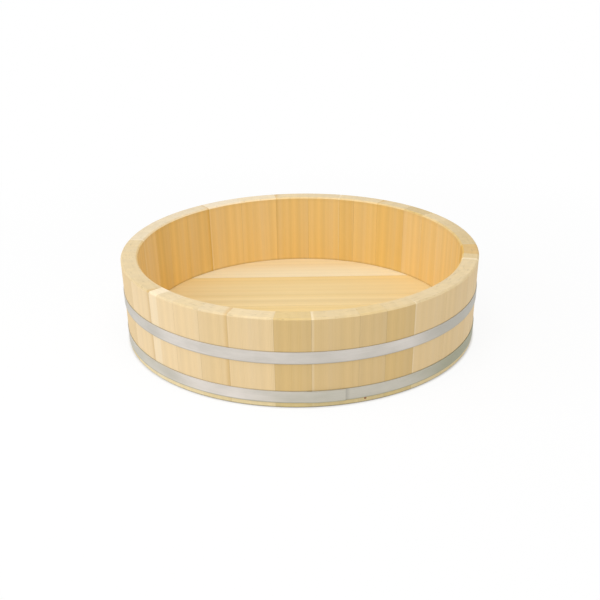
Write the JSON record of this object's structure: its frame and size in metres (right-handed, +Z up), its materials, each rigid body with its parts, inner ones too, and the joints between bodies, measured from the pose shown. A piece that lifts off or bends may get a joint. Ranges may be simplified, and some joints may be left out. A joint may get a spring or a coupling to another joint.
{
  "type": "sushi rice tub",
  "caption": "Shallow round coopered wooden tub with upright staves, a raised boarded bottom and flat metal hoops, for mixing and cooling rice.",
  "frame": {"origin": "middle of the tub on the surface that it stands on", "axes": "+Z up through the open rim, -Y towards the front of the picture, +X to the right"},
  "size_m": [0.7198, 0.7198, 0.175],
  "materials": {
    "stave_wood": "planed bare softwood, satin",
    "bottom_wood": "planed bare softwood, satin",
    "hoop_steel": "dull rolled strip",
    "bamboo": "split bamboo",
    "nail_brass": "dark tarnish"
  },
  "bodies": {
    "root": {"stave_01": "stave_wood", "stave_02": "stave_wood", "stave_03": "stave_wood", "stave_04": "stave_wood", "stave_05": "stave_wood", "stave_06": "stave_wood", "stave_07": "stave_wood", "stave_08": "stave_wood", "stave_09": "stave_wood", "stave_10": "stave_wood", "stave_11": "stave_wood", "stave_12": "stave_wood", "stave_13": "stave_wood", "stave_14": "stave_wood", "stave_15": "stave_wood", "stave_16": "stave_wood", "stave_17": "stave_wood", "stave_18": "stave_wood", "stave_19": "stave_wood", "stave_20": "stave_wood", "stave_21": "stave_wood", "stave_22": "stave_wood", "stave_23": "stave_wood", "stave_24": "stave_wood", "stave_25": "stave_wood", "stave_26": "stave_wood", "stave_27": "stave_wood", "stave_28": "stave_wood", "stave_29": "stave_wood", "stave_30": "stave_wood", "stave_31": "stave_wood", "bottom_board_1": "bottom_wood", "bottom_board_2": "bottom_wood", "bottom_board_3": "bottom_wood", "bottom_board_4": "bottom_wood", "bottom_board_5": "bottom_wood", "upper_hoop": "hoop_steel", "lower_hoop": "hoop_steel", "stave_pegs": "bamboo", "bottom_dowels": "bamboo", "hoop_nails": "nail_brass"}
  },
  "joints": []
}
